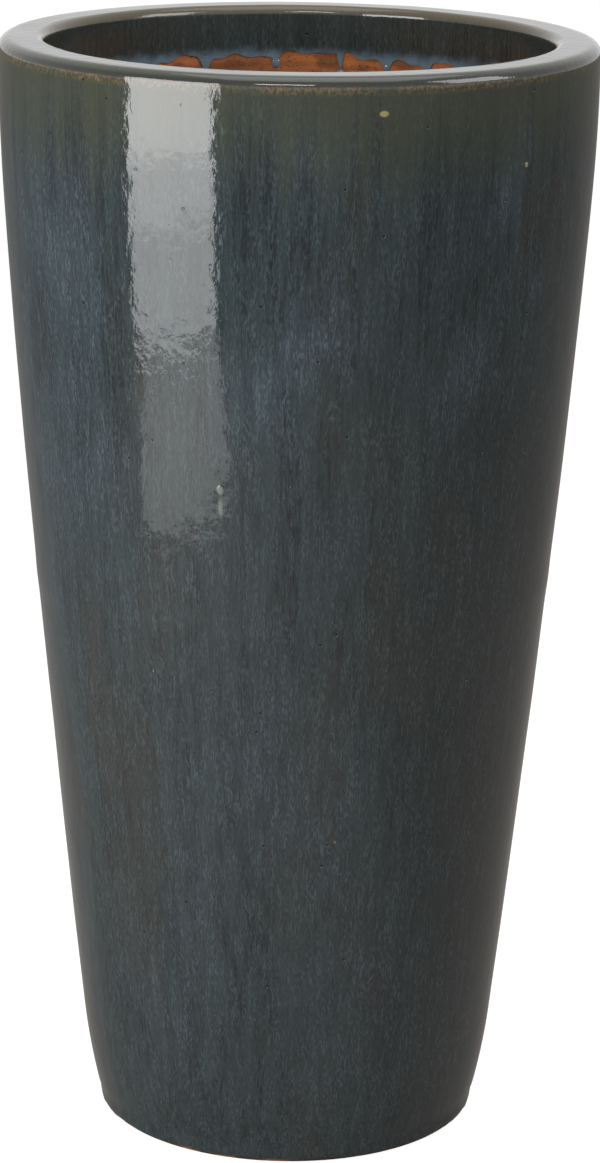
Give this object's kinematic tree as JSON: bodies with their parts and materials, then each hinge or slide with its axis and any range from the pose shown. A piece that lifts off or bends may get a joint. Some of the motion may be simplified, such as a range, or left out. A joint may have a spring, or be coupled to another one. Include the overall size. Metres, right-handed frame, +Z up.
{
  "type": "planter",
  "caption": "Tall round tapered stoneware floor planter with a wide flat rim, dark glossy streaked glaze, bare clay inside and a drain hole.",
  "frame": {"origin": "centre of the foot's resting face, on the ground", "axes": "+Z up the pot's axis, towards the mouth; X and Y are free, the pot is round"},
  "size_m": [0.4865, 0.4866, 0.914],
  "materials": {
    "clay": "unglazed, matt, fired",
    "glaze": "glossy"
  },
  "bodies": {
    "root": {"foot_ring": "clay", "floor_section": "clay", "lower_wall": "clay", "upper_wall": "clay", "rim_collar": "clay", "outer_glaze": "glaze", "throat_glaze": "glaze"}
  },
  "joints": []
}
